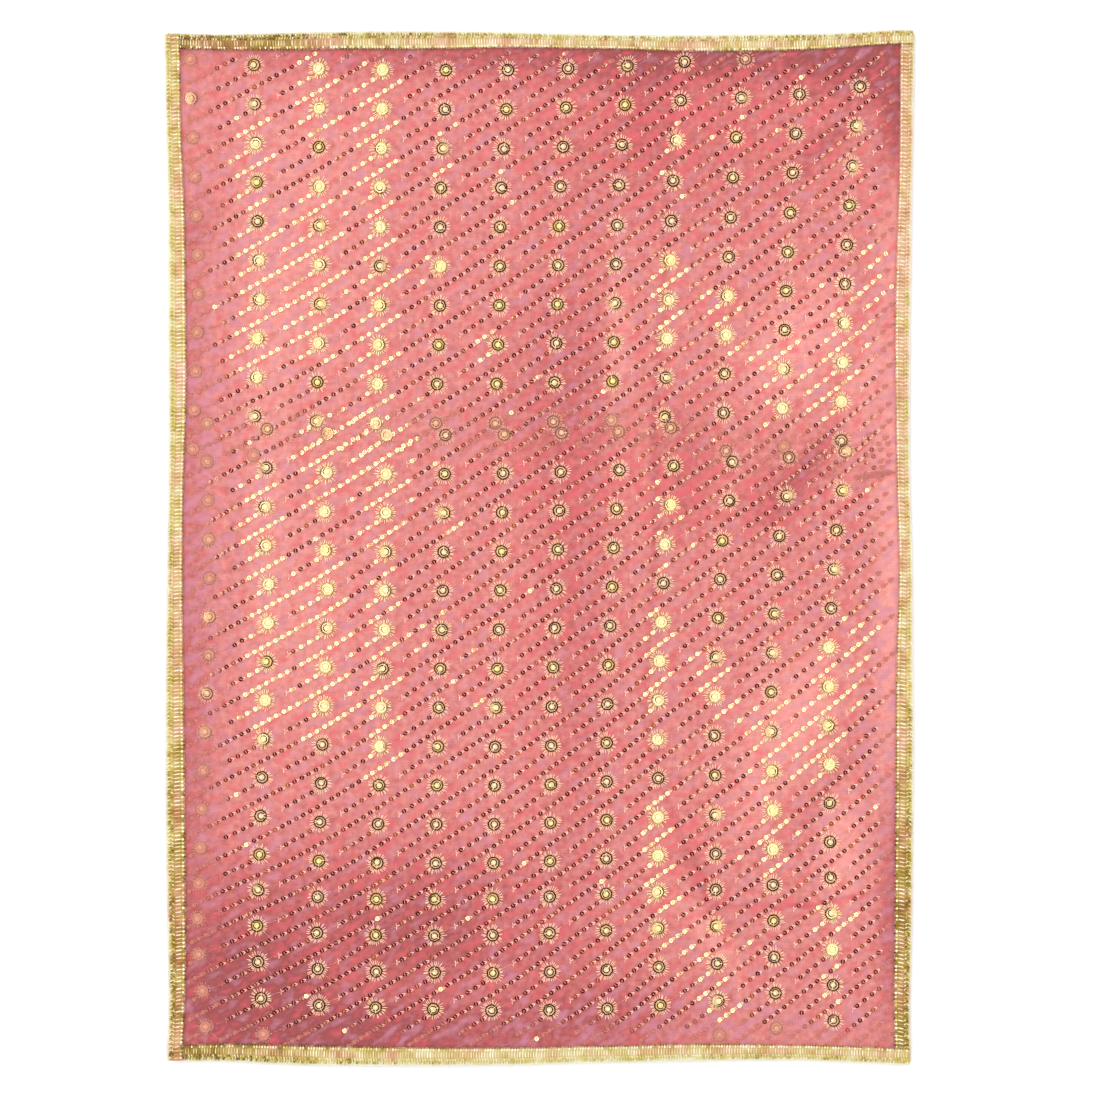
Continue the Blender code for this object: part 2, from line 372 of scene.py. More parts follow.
# Finishes of the tapes. Rows: name, how metallic, roughness, where the colours are, from dark to
# pale, and the colours themselves: first the yellow golds, and then the peach ones
FINISHES = {
    "ground": (
        "olive_net_ground", 0.05, 0.6, (0.15, 0.38, 0.62, 1.0),
        ("#644204", "#987818", "#C6AE68", "#E0DCC0"), ("#6A4014", "#A87840", "#CC9E76", "#E4D0B8"),
    ),
    "loops": (
        "pearl_edge_thread", 0.0, 0.6, (0.15, 0.4, 0.65, 0.9),
        ("#A09860", "#D0CCA8", "#DCDCCC", "#EAECE8"), ("#A89470", "#D8CCB0", "#E2D8CC", "#F0E8E4"),
    ),
    "chevrons": (
        "metallised_chevron_thread", 0.15, 0.45, (0.0, 0.25, 0.5, 0.7, 0.9),
        ("#543C02", "#A88808", "#DCCC54", "#E2DC9C", "#F0ECC4"),
        ("#603404", "#B08020", "#E0C078", "#E8D0A8", "#F6E8D2"),
    ),
    "rungs": (
        "pale_gold_rung_thread", 0.1, 0.45, (0.1, 0.4, 0.7, 1.0),
        ("#A88840", "#DCC480", "#E8DAA8", "#FFFADC"), ("#B07840", "#DEB084", "#E6BE9A", "#FCE8D4"),
    ),
    "beads": (
        "cream_gold_thread_beads", 0.1, 0.4, (0.0, 0.3, 0.6, 0.9),
        ("#907018", "#D8BC48", "#ECE098", "#FFFCD8"), ("#A07030", "#E0B478", "#EED2B0", "#FFF4E6"),
    ),
    "knots": (
        "dark_brown_gold_knots", 0.1, 0.5, (0.0, 0.3, 0.55, 0.8),
        ("#381A04", "#6A4010", "#A08054", "#C8B090"), ("#7C4428", "#C08A68", "#DCA88C", "#E4BCA4"),
    ),
}

# The camera looks straight down at the middle of the photo's frame
FRAME_WIDTH = 653.4 * MM
LENS = 85.0
SENSOR = 36.0
VIEW_X = 6.2 * MM
VIEW_Y = -1.5 * MM
CAMERA = np.array([VIEW_X, VIEW_Y, SHELL_TOP + FRAME_WIDTH * LENS / SENSOR])

# Two softboxes hang high over the cloth, to its left and right, and make the sequins glint
SOFTBOX_X = 1.0
SOFTBOX_Y = 0.2
SOFTBOX_Z = 3.08
SOFTBOX_SIZE = (0.5, 1.0)
SOFTBOX_RADIANCE = 14.0
# No other sequin reflects a point further from the middle than this, at the softboxes' height
DARK_REACH = 0.68


def linear(code):
    """An sRGB hex code as linear light: a straight line near black, a 2.4 power curve above it."""
    srgb = np.array([int(code[i:i + 2], 16) for i in (1, 3, 5)]) / 255
    light = np.where(srgb <= 0.04045, srgb / 12.92, ((srgb + 0.055) / 1.055) ** 2.4)
    return (*light.tolist(), 1.0)


def smooth_rows(rows, at):
    """Reads a table of (place, value) rows in mm with a smooth curve through them, as metres."""
    places, values = np.array(rows, float).T * MM
    slopes = np.gradient(values, places)
    at = np.clip(at, places[0], places[-1])
    i = np.clip(np.searchsorted(places, at) - 1, 0, len(places) - 2)
    step = places[i + 1] - places[i]
    t = (at - places[i]) / step
    return (
        values[i] * (1 + 2 * t) * (1 - t) ** 2
        + slopes[i] * step * t * (1 - t) ** 2
        + values[i + 1] * t * t * (3 - 2 * t)
        + slopes[i + 1] * step * t * t * (t - 1)
    )


def bump(distance, reach):
    """1 at distance 0, falling as a squared cosine to 0 at reach, and 0 beyond it."""
    return np.cos(0.5 * np.pi * np.clip(distance / reach, -1, 1)) ** 2


def smooth_step(share):
    """0 below 0, 1 above 1, and a soft S between: 3 s^2 - 2 s^3."""
    share = np.clip(share, 0, 1)
    return share * share * (3 - 2 * share)


def patch(x, y, middle_x, middle_y, heading, reach, half_width):
    """A soft oval, given in mm: one bump along its heading times one bump across it."""
    turn = np.radians(heading)
    from_x, from_y = x - middle_x * MM, y - middle_y * MM
    down = from_x * np.cos(turn) + from_y * np.sin(turn)
    aside = from_y * np.cos(turn) - from_x * np.sin(turn)
    return bump(down, reach * MM) * bump(aside, half_width * MM)


def crease_profile(x, y, half_width, points):
    """A bump of the distance to a line through the points, fading out along it towards both ends."""
    points = np.array(points, float) * MM
    starts, runs = points[:-1], np.diff(points, axis=0)
    lengths = np.hypot(*runs.T)
    before = np.concatenate([[0], np.cumsum(lengths)[:-1]])
    nearest, reached = np.full(x.shape, np.inf), np.zeros(x.shape)
    for start, run, length, far in zip(starts, runs, lengths, before):
        from_x, from_y = x - start[0], y - start[1]
        t = np.clip((from_x * run[0] + from_y * run[1]) / length ** 2, 0, 1)
        distance = np.hypot(from_x - t * run[0], from_y - t * run[1])
        reached = np.where(distance < nearest, (far + t * length) / lengths.sum(), reached)
        nearest = np.minimum(nearest, distance)
    return bump(nearest, half_width * MM) * np.sqrt(np.sin(np.pi * reached).clip(0))


def lift(x, y):
    """Height of the cloth's underside: the largest of the folds there, plus the fine creases."""
    x, y = np.broadcast_arrays(x, y)
    height = np.zeros(x.shape)
    for *oval, crest in FOLDS:
        height = np.maximum(height, crest * MM * patch(x, y, *oval))
    for crest, half_width, points in CREASES:
        height = height + crest * MM * crease_profile(x, y, half_width, points)
    edge = np.minimum(WIDTH / 2 - np.abs(x), LENGTH / 2 - np.abs(y))
    return height * (BORDER_SHARE + (1 - BORDER_SHARE) * smooth_step(edge / BORDER_REACH))


def laid(x, y, above):
    """Where a point of the cut lies, at a height above the cloth's underside."""
    x, y, above = np.broadcast_arrays(x, y, above)
    pull = {edge: smooth_rows(EDGE_PULL[edge], y) for edge in ("left", "right")}
    pull |= {edge: smooth_rows(EDGE_PULL[edge], x) for edge in ("bottom", "top")}
    right, top = x / WIDTH + 0.5, y / LENGTH + 0.5
    laid_x = x + pull["left"] * (1 - right) - pull["right"] * right
    laid_y = y + pull["bottom"] * (1 - top) - pull["top"] * top
    return np.stack([laid_x, laid_y, lift(x, y) + above], axis=-1)


def part_lattice(column, row, part):
    """Place on the cut of a point of one part of the pattern. Columns run between the first and the
    last one, set a little closer to the right, and rows are raised at the sides."""
    numbers, places = np.array(ROW_PLACES[part]).T
    y = np.interp(row, numbers, places * MM)
    share = column / LAST
    share = share + COLUMN_BOW * share * (1 - share)
    x = smooth_rows(FIRST_COLUMN[part], y) * (1 - share) + smooth_rows(LAST_COLUMN[part], y) * share
    x = x + np.interp(column, np.arange(LAST + 1), np.array(COLUMN_SHIFTS) * MM)
    y = y + smooth_rows(ROW_RISE, x)
    right, up = 0, 0
    for *oval, to_right, upward in DRIFTS:
        share = patch(x, y, *oval)
        right, up = right + to_right * MM * share, up + upward * MM * share
    return x + right, y + up


def lattice(column, row, part):
    """The same for points of both parts."""
    upper, lower = (part_lattice(column, row, number) for number in (0, 1))
    return np.where(part, lower[0], upper[0]), np.where(part, lower[1], upper[1])


def beyond_seam(x, y, part):
    """How far a place of one part of the pattern lies past the seam, in mm."""
    places, heights = np.array(SEAM).T
    return (np.interp(x / MM, places, heights) - y / MM) * (1 - 2 * part)


def veil_over(x, y, part):
    """How much the cloth veils a place of the pattern: 0 in the open, and 1 in the hems next to the
    tapes and far beyond the seam."""
    amount = smooth_step((beyond_seam(x, y, part) + SEAM_FADE) / (SEAM_FADE - SEAM_END))
    for edge, (start, full) in VEILS.items():
        at = x if edge in ("left", "right") else y
        amount = np.maximum(amount, smooth_step((at / MM - start) / (full - start)))
    return amount


def straggling(veil):
    """Veils with a random part: where they are middling, one piece shows and the next hardly."""
    return np.clip(veil + rng.normal(0, 0.35, len(veil)) * 4 * veil * (1 - veil), 0, 1)


def shown(x, y, part, margin):
    """True where a place of the pattern is a margin inside the tapes and not hidden by the seam."""
    edge = np.minimum(WIDTH / 2 - np.abs(x), LENGTH / 2 - np.abs(y))
    return (edge > TAPE_WIDTH + margin) & (beyond_seam(x, y, part) < -SEAM_END - SEAM_GONE)


def add_piece(name, points, faces, material, slot, values=None, uv=None):
    """Adds closed bodies as one piece. If their volume comes out negative, all faces are turned."""
    corners = [np.concatenate([block[:, :3], block[:, [0, 2, 3]]]) if block.shape[1] == 4 else block
               for block in faces]
    a, b, c = (points[np.concatenate(corners)[:, k]] for k in range(3))
    if np.einsum("ij,ij->", a, np.cross(b, c)) < 0:
        faces = [block[:, ::-1] for block in faces]
    order = np.concatenate([block.ravel() for block in faces])
    sizes = np.concatenate([np.full(len(block), block.shape[1]) for block in faces])
    mesh = bpy.data.meshes.new(name)
    mesh.vertices.add(len(points))
    mesh.vertices.foreach_set("co", points.ravel())
    mesh.loops.add(len(order))
    mesh.loops.foreach_set("vertex_index", order)
    mesh.polygons.add(len(sizes))
    mesh.polygons.foreach_set("loop_start", np.concatenate([[0], np.cumsum(sizes)[:-1]]))
    mesh.update(calc_edges=True)
    mesh.shade_smooth()
    mesh.set_sharp_from_angle(angle=np.radians(50))
    for key, per_point in (values or {}).items():
        layer = mesh.attributes.new(key, "FLOAT", "POINT")
        layer.data.foreach_set("value", np.ascontiguousarray(per_point, np.float32))
    if uv is not None:
        mesh.uv_layers.new(name="cut").data.foreach_set("uv", uv[order].ravel())
    mesh.materials.append(material)
    piece = bpy.data.objects.new(name, mesh)
    bpy.context.scene.collection.objects.link(piece)
    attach(piece, "root")
    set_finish(piece, slot)
    return piece


def bodies(rings, poles=None):
    """Closed bodies from rings of points, as an array of body, ring, point and xyz. With poles the
    rings end in a point at either end, and without them the last ring joins the first."""
    count, stations, sides = rings.shape[:3]
    station = np.arange(stations - (poles is not None))[:, None]
    side = np.arange(sides)[None, :]
    near, far = station * sides, (station + 1) % stations * sides
    onward = (side + 1) % sides
    faces = [np.stack([near + side, near + onward, far + onward, far + side], -1).reshape(-1, 4)]
    points = rings.reshape(count, -1, 3)
    if poles is not None:
        points = np.concatenate([points, poles], axis=1)
        first = np.full(sides, stations * sides)
        side, onward, tail = side[0], onward[0], (stations - 1) * sides
        fans = [np.stack([first, onward, side], -1)]
        fans.append(np.stack([first + 1, tail + side, tail + onward], -1))
        faces.append(np.concatenate(fans))
    offsets = points.shape[1] * np.arange(count)[:, None, None]
    return points.reshape(-1, 3), [(f + offsets).reshape(-1, f.shape[1]) for f in faces]


def joined(parts):
    """Several (points, faces) pairs as one."""
    points, faces, offset = [], [], 0
    for part_points, part_faces in parts:
        points.append(part_points)
        faces += [block + offset for block in part_faces]
        offset += len(part_points)
    return np.concatenate(points), faces


def each(per_body, points):
    """A value for each body, spread over all the points of the bodies."""
    return np.repeat(per_body, len(points) // len(per_body))


def turned(x, y, turn, profile, sides, above, slope=None, stretch=(1, 1), place=laid, zigzag=0):
    """Round bodies: a profile turned about an upright axis, from a pole to a pole. Every second
    side's radius is larger by the zigzag share. With a slope each body is stiff and leans by that
    much in x and y, and without one it follows the cloth."""
    profile = np.array(profile)[:, :2] * MM
    radius, height = profile[1:-1].T[:, None, :, None]
    side = np.arange(sides)
    radius = radius * (1 + zigzag * (side % 2 - 0.5))
    angle = np.asarray(turn)[:, None, None] + side * 2 * np.pi / sides
    across, up = radius * np.cos(angle) * stretch[0], radius * np.sin(angle) * stretch[1]
    x, y, above = (np.broadcast_to(v, len(x))[:, None, None] for v in (x, y, above))
    ends = profile[[0, -1], 1][None, :]
    if slope is None:
        rings = place(x + across, y + up, above + height)
        return bodies(rings, place(x[:, 0], y[:, 0], above[:, 0] + ends))
    middle = place(x, y, above)
    lean = across * slope[:, 0, None, None] + up * slope[:, 1, None, None]
    rings = middle + np.stack([across, up, height + lean], -1)
    return bodies(rings, middle[:, :, 0] + np.stack([0 * ends, 0 * ends, ends], -1))


def film_of(profile, sides, count):
    """The film share of each point of so many turned bodies: ring by ring, then the two poles."""
    *_, share = np.array(profile).T
    return np.tile(np.concatenate([np.repeat(share[1:-1], sides), share[[0, -1]]]), count)


def stitches(start, end, radius, arch, above, place=laid, sides=3, at=(0.22, 0.78)):
    """Threads that come up at start and go down at end. Each is a spindle whose middle line rises
    as a sine by arch, with a ring at each of those shares of the way."""
    start, end = np.asarray(start), np.asarray(end)
    run = end - start
    length = np.hypot(*run.T)[:, None, None]
    unit = run[:, None, None, :] / length[..., None]
    along = np.array(at)[None, :, None]
    angle = np.arange(sides) * 2 * np.pi / sides + np.pi / 2
    radius, arch, above = (np.broadcast_to(v, len(run))[:, None, None] for v in (radius, arch, above))
    aside = radius * np.cos(angle)
    u = start[:, 0, None, None] + along * run[:, 0, None, None] - unit[..., 1] * aside
    v = start[:, 1, None, None] + along * run[:, 1, None, None] + unit[..., 0] * aside
    rings = place(u, v, above + arch * np.sin(np.pi * along) + radius * np.sin(angle))
    ends = np.stack([start, end], 1)
    return bodies(rings, place(ends[..., 0], ends[..., 1], above[:, 0]))


def softbox_slope(points):
    """Slope of a mirror at each point that shows the camera the softbox on that side. Its normal
    is halfway between the ways to the camera and to the softbox."""
    side = np.where(points[:, 0] < VIEW_X, -1, 1)
    lamp = np.stack([side * SOFTBOX_X, 0 * side + SOFTBOX_Y, 0 * side + SOFTBOX_Z], -1)
    ways = [target - points for target in (CAMERA, lamp)]
    normal = sum(way / np.linalg.norm(way, axis=1)[:, None] for way in ways)
    return -normal[:, :2] / normal[:, 2:]


def dark_slope(points, slope):
    """The slope that is nearest to the one given and shows the camera only the dark ceiling."""
    reach = 2 * (SOFTBOX_Z - SHELL_TOP)
    seen = points[:, :2] + 2 * (points[:, :2] - CAMERA[:2]) - reach * slope
    return slope + (seen - np.clip(seen, -DARK_REACH, [DARK_REACH, 9])) / reach


def cloth_slope(x, y):
    """Slope of the laid cloth in x and y, from the heights 1.5 mm to either side."""
    step = 1.5 * MM
    in_x = lift(x + step, y) - lift(x - step, y)
    in_y = lift(x, y + step) - lift(x, y - step)
    return np.stack([in_x, in_y], -1) / (2 * step)


def glint_share(x, y):
    """How many of the sequins near a place catch the light, from 0 to 1: the largest patch there,
    made flatter in its middle."""
    share = np.full(x.shape, STRAY_GLINTS)
    rows = [(row, shift) for row in GLINTS_TWICE for shift in (0, REPEAT_ROWS)]
    for (column, row, *oval, most), shift in rows + [(row, 0) for row in GLINTS_ONCE]:
        middle = np.array(lattice(column, row + shift, row + shift > REPEAT_ROWS)) / MM
        share = np.maximum(share, most * np.clip(6 * patch(x, y, *middle, *oval), 0, 1))
    return share


def lay_of(x, y, loose):
    """How each sequin lies: the lit ones face a softbox, and the others lie on the cloth. All are
    off by a random lean of that spread."""
    points = laid(x, y, SHELL_TOP)
    lit = rng.random(len(x)) < glint_share(x, y)
    stray = rng.normal(0, loose, (len(x), 2))
    flat = dark_slope(points, cloth_slope(x, y) + 1.5 * stray)
    return np.where(lit[:, None], softbox_slope(points) + stray, flat), lit


def seat(x, y, slope, radius):
    """Height at which a leaning disc just clears the cloth."""
    apart = slope - cloth_slope(x, y)
    return SHELL_TOP + SEQUIN_CLEARANCE + radius * np.hypot(*apart.T)


def add_node(tree, kind, output, inputs=(), stops=(), **settings):
    """Adds a shader node with its settings, and gives one of its outputs. Its inputs are numbers,
    colours or sockets to link, by name or number, and stops are a ramp's (place, colour) points."""
    node = tree.nodes.new("ShaderNode" + kind)
    for key, value in settings.items():
        setattr(node, key, value)
    for key, value in dict(inputs).items():
        if isinstance(value, bpy.types.NodeSocket):
            tree.links.new(value, node.inputs[key])
        else:
            node.inputs[key].default_value = value
    for number, (place, colour) in enumerate(stops):
        elements = node.color_ramp.elements
        element = elements[number] if number < 2 else elements.new(place)
        element.position, element.color = place, linear(colour)
    return node.outputs[output]


def new_material(name, **numbers):
    """A material with one Principled shader, whose plain values are set on its own sockets, and the
    function that adds nodes to it."""
    material = bpy.data.materials.new(name)
    material.use_nodes = True
    shader = material.node_tree.nodes["Principled BSDF"]
    for key, value in numbers.items():
        shader.inputs[key.replace("_", " ")].default_value = value
    return material, shader, partial(add_node, material.node_tree)


def wire(shader, **sockets):
    """Links sockets to the inputs of a shader that have those names."""
    for key, socket in sockets.items():
        shader.id_data.links.new(socket, shader.inputs[key.replace("_", " ")])


def georgette():
    """Dyed georgette, woven from crimped yarn: matt, with a fine grain and a lilac cast in places. Its
    colour also holds painted light and shade: pale where it faces the light, and a deeper coral painted
    into its folds and corners."""
    material, shader, add = new_material(
        "coral_georgette", Roughness=0.78, Sheen_Weight=0.25, Sheen_Roughness=0.5
    )
    dyes_and_painted_light = (
        (0.0, "#F2A69A"), (0.2, "#EB988E"), (0.4, "#DB8980"), (0.55, "#CB756F"),
        (0.7, "#BA5E5C"), (0.85, "#A64C4B"), (1.0, "#923F3F"),
    )
    shade, hue = (add("Attribute", "Fac", attribute_name=key) for key in ("shade", "hue"))
    cut = add("UVMap", "UV", uv_map="cut")
    in_mm = add("Mapping", "Vector", {"Vector": cut, "Scale": (WIDTH / MM, LENGTH / MM, 1)})
    # Streaks about 6 mm wide and longer along the lines of sequins, and blotches of about 4 mm
    turn = {"Vector": in_mm, "Rotation": (0, 0, np.radians(LINE_HEADING)), "Scale": (1.8, 1, 1)}
    along_lines = add("Mapping", "Vector", turn, vector_type="TEXTURE")
    streaks = add("TexNoise", "Fac", {"Vector": along_lines, "Scale": 1 / 6, "Detail": 6.0})
    blotches = add("TexNoise", "Fac", {"Vector": in_mm, "Scale": 1 / 4, "Detail": 5.0})
    uneven = add("Math", "Value", {0: blotches, 1: 0.7, 2: shade}, operation="MULTIPLY_ADD")
    fuller = add("Math", "Value", {0: streaks, 1: 8.0, 2: hue}, operation="MULTIPLY_ADD")
    # The shade attribute picks the coral from these colours: their paler and deeper ends are painted
    # light and shade
    cast = add("ValToRGB", "Color", {"Fac": uneven}, dyes_and_painted_light)
    for start, end, tint in ((4.0, 5.7, "#DA5864"), (4.0, 2.2, "#C67E94")):
        span = {"Value": fuller, "From Min": start, "From Max": end, "To Max": 0.7}
        amount = add("MapRange", "Result", span)
        cast = add("Mix", 2, {"Factor": amount, 6: cast, 7: linear(tint)}, data_type="RGBA")
    # Georgette has about 30 threads a cm. They are drawn at 0.9 mm, so that they just show
    yarns = {"Vector": in_mm, "Scale": 0.314 / 0.9, "Distortion": 2.5, "Detail": 2.0}
    warp, weft = (add("TexWave", "Fac", yarns, bands_direction=way) for way in ("X", "Y"))
    weave = add("Math", "Value", {0: warp, 1: weft}, operation="MULTIPLY")
    dents = add("MapRange", "Result", {"Value": weave, "To Min": 0.86, "To Max": 1.08})
    colour = add("VectorMath", "Vector", {0: cast, "Scale": dents}, operation="SCALE")
    relief = add("Bump", "Normal", {"Height": weave, "Strength": 0.35, "Distance": 0.1 * MM})
    wire(shader, Base_Color=colour, Normal=relief)
    return material


def finish_film(add, shader, film, veil, colour, veiled, satin, gloss):
    """Gives a sequin's shader its colours in the open and under a veil. Bare film in the open, from
    a satin share up, is as smooth as gloss, and thread and veiled film are dull."""
    bare = add("MapRange", "Result", {"Value": veil, "To Min": 1.0, "To Max": 0.0})
    bare = add("Math", "Value", {0: film, 1: bare}, operation="MULTIPLY")
    rough = add("MapRange", "Result", {"Value": bare, "From Max": satin, "To Min": 0.6, "To Max": gloss})
    seen = add("Mix", 2, {"Factor": veil, 6: colour, 7: veiled}, data_type="RGBA")
    wire(shader, Base_Color=seen, Roughness=rough)


def sequin_film():
    """Stamped polyester film, very glossy, its middle under pink thread. Its dark maroon is partly dye
    and partly painted reflection of the dark ceiling, a lit sequin's gold and cream are painted glint,
    and its gloss is cream where it shows a lamp."""
    material, shader, add = new_material("maroon_sequin_film", IOR=2.2, Specular_Tint=linear("#FFC893"))
    lot, film, veil = (add("Attribute", "Fac", attribute_name=key) for key in ("lot", "film", "veil"))
    # By lot: the dark maroon end is partly painted reflection of the dark ceiling, and the gold and cream
    # ends are painted glint for lit sequins
    ring_dyes_and_painted_light = ((0.0, "#4A0C02"), (0.45, "#6A1C08"), (0.8, "#9C4E20"), (1.0, "#D8A868"))
    thread_dyes_and_painted_glint = ((0.0, "#C0606C"), (0.5, "#D67C80"), (0.8, "#E8988C"), (1.0, "#FFF0D8"))
    ring = add("ValToRGB", "Color", {"Fac": lot}, ring_dyes_and_painted_light)
    middle = add("ValToRGB", "Color", {"Fac": lot}, thread_dyes_and_painted_glint)
    colour = add("Mix", 2, {"Factor": film, 6: middle, 7: ring}, data_type="RGBA")
    under_cloth = {"Factor": film, 6: linear("#CC7878"), 7: linear("#B4625C")}
    veiled = add("Mix", 2, under_cloth, data_type="RGBA")
    finish_film(add, shader, film, veil, colour, veiled, 0.3, 0.09)
    return material


def rosette_film():
    """Two stacked sequins and a thread knot: thin glossy rims, whose dark brown is painted reflection of
    the dark room, a satin peach gold band between them, and a cream cotton middle. Where cloth veils them
    they are dull coral."""
    material, shader, add = new_material("stacked_gold_sequins", IOR=1.8, Specular_Tint=linear("#FFDA98"))
    lot, film, veil = (add("Attribute", "Fac", attribute_name=key) for key in ("lot", "film", "veil"))
    # By film share: the dark brown rim colours are painted reflection of the dark room
    dyes_and_painted_light = (
        (
            (0.0, "#FFF0B8"), (0.28, "#ECC6A0"), (0.36, "#E2B892"),
            (0.5, "#E4B492"), (0.58, "#C89860"), (0.64, "#301A00"), (1.0, "#281600"),
        ),
        ((0.0, "#FFF0A0"), (0.28, "#F0D888"), (0.56, "#DCB468"), (0.64, "#504004"), (1.0, "#3C2C02")),
        ((0.0, "#D8947C"), (0.3, "#D0867C"), (0.56, "#CC807C"), (0.64, "#B47464"), (1.0, "#B06E5E")),
    )
    peach, gold, veiled = (add("ValToRGB", "Color", {"Fac": film}, row) for row in dyes_and_painted_light)
    golden = add("MapRange", "Result", {"Value": lot, "From Min": 0.45, "From Max": 1.05})
    colour = add("Mix", 2, {"Factor": golden, 6: peach, 7: gold}, data_type="RGBA")
    finish_film(add, shader, film, veil, colour, veiled, 0.35, 0.11)
    return material


def embroidery_thread():
    """Twisted rayon thread, dyed from peach to cream: a soft lustre along its strands. Near the glints it
    is made paler and creamier, a painted light.
    """
    material, shader, add = new_material("peach_rayon_thread", Roughness=0.45, Sheen_Weight=0.2)
    lot, veil = (add("Attribute", "Fac", attribute_name=key) for key in ("lot", "veil"))
    dyes_and_painted_light = ((0.0, "#DE8C86"), (0.35, "#F4BAA8"), (0.6, "#FFDCC4"), (0.8, "#F8CE9E"), (1.0, "#FFF0B8"))
    dye = add("ValToRGB", "Color", {"Fac": lot}, dyes_and_painted_light)
    seen = add("Mix", 2, {"Factor": veil, 6: dye, 7: linear("#CE807C")}, data_type="RGBA")
    wire(shader, Base_Color=seen)
    return material


def lace_thread(name, metallic, roughness, places, gold, blush):
    """Metallised polyester yarn wound on a core: a broken gleam, painted into its colour as pale and
    dark patches, that drifts along the tape between yellow gold and peach, and from pale to brown."""
    material, shader, add = new_material(name, Metallic=metallic, Roughness=roughness)
    lot, rosy = (add("Attribute", "Fac", attribute_name=key) for key in ("lot", "rosy"))
    place = add("TexCoord", "Object")
    # Patches of about 7 mm, pale to dark along the ramp: wear and a painted gleam
    wear_and_painted_gleam = add("TexNoise", "Fac", {"Vector": place, "Scale": 1 / (7 * MM), "Detail": 6.0})
    drift = add("TexNoise", "Fac", {"Vector": place, "Scale": 1 / (16 * MM), "Detail": 3.0})
    light = add("Math", "Value", {0: wear_and_painted_gleam, 1: 0.9, 2: lot}, operation="MULTIPLY_ADD")
    tints = (add("ValToRGB", "Color", {"Fac": light}, zip(places, tint)) for tint in (gold, blush))
    yellow, peach = tints
    blushed = add("Math", "Value", {0: drift, 1: rosy}, operation="ADD")
    share = add("MapRange", "Result", {"Value": blushed, "From Min": 0.42, "From Max": 0.62})
    colour = add("Mix", 2, {"Factor": share, 6: yellow, 7: peach}, data_type="RGBA")
    wire(shader, Base_Color=colour)
    return material


def make_camera():
    """The camera, straight above the cloth."""
    data = bpy.data.cameras.new("camera")
    data.lens, data.sensor_width = LENS, SENSOR
    data.clip_start, data.clip_end = 0.01, 20
    camera = bpy.data.objects.new("camera", data)
    camera.location = CAMERA
    bpy.context.scene.collection.objects.link(camera)
    bpy.context.scene.camera = camera


def add_lamp(name, place, size, radiance, aim=(0, 0, 0)):
    """A soft rectangular lamp that faces a point. Its power is its radiance times pi times area."""
    data = bpy.data.lights.new(name, "AREA")
    data.shape, data.size, data.size_y = "RECTANGLE", *size
    data.energy = radiance * np.pi * size[0] * size[1]
    lamp = bpy.data.objects.new(name, data)
    lamp.location = place
    away = np.array(place, float) - aim
    level = np.hypot(away[0], away[1])
    lamp.rotation_euler = (np.arctan2(level, away[2]), 0, np.arctan2(away[0], -away[1]))
    bpy.context.scene.collection.objects.link(lamp)


def make_studio():
    """A pale floor, the two high softboxes, a soft key light from the upper left and a fill from
    the right, under a sky that is bright low down and dark overhead."""
    mesh = bpy.data.meshes.new("floor")
    mesh.from_pydata([(-4, -4, 0), (4, -4, 0), (4, 4, 0), (-4, 4, 0)], [], [(0, 1, 2, 3)])
    mesh.materials.append(new_material("white_paper", Roughness=0.9, Base_Color=linear("#F4F4F4"))[0])
    floor = bpy.data.objects.new("floor", mesh)
    bpy.context.scene.collection.objects.link(floor)
    for side, name in ((-1, "softbox_left"), (1, "softbox_right")):
        place = (side * SOFTBOX_X, SOFTBOX_Y, SOFTBOX_Z)
        add_lamp(name, place, SOFTBOX_SIZE, SOFTBOX_RADIANCE, (place[0], place[1], 0))
    add_lamp("key", (-1.7, 1.4, 1.6), (1.6, 1.6), 3.4)
    add_lamp("fill", (1.9, -0.6, 1.6), (1.6, 1.6), 1.0)
    world = bpy.data.worlds.new("sky")
    world.use_nodes = True
    add = partial(add_node, world.node_tree)
    height = add("SeparateXYZ", "Z", {"Vector": add("TexCoord", "Generated")})
    span = {"Value": height, "From Min": 0.62, "From Max": 0.8, "To Min": 1.5, "To Max": 0.04}
    light = add("MapRange", "Result", span)
    background = world.node_tree.nodes["Background"]
    background.inputs["Color"].default_value = (1, 1, 1, 1)
    wire(background, Strength=light)
    bpy.context.scene.world = world
    bpy.context.scene.view_settings.view_transform = "Standard"


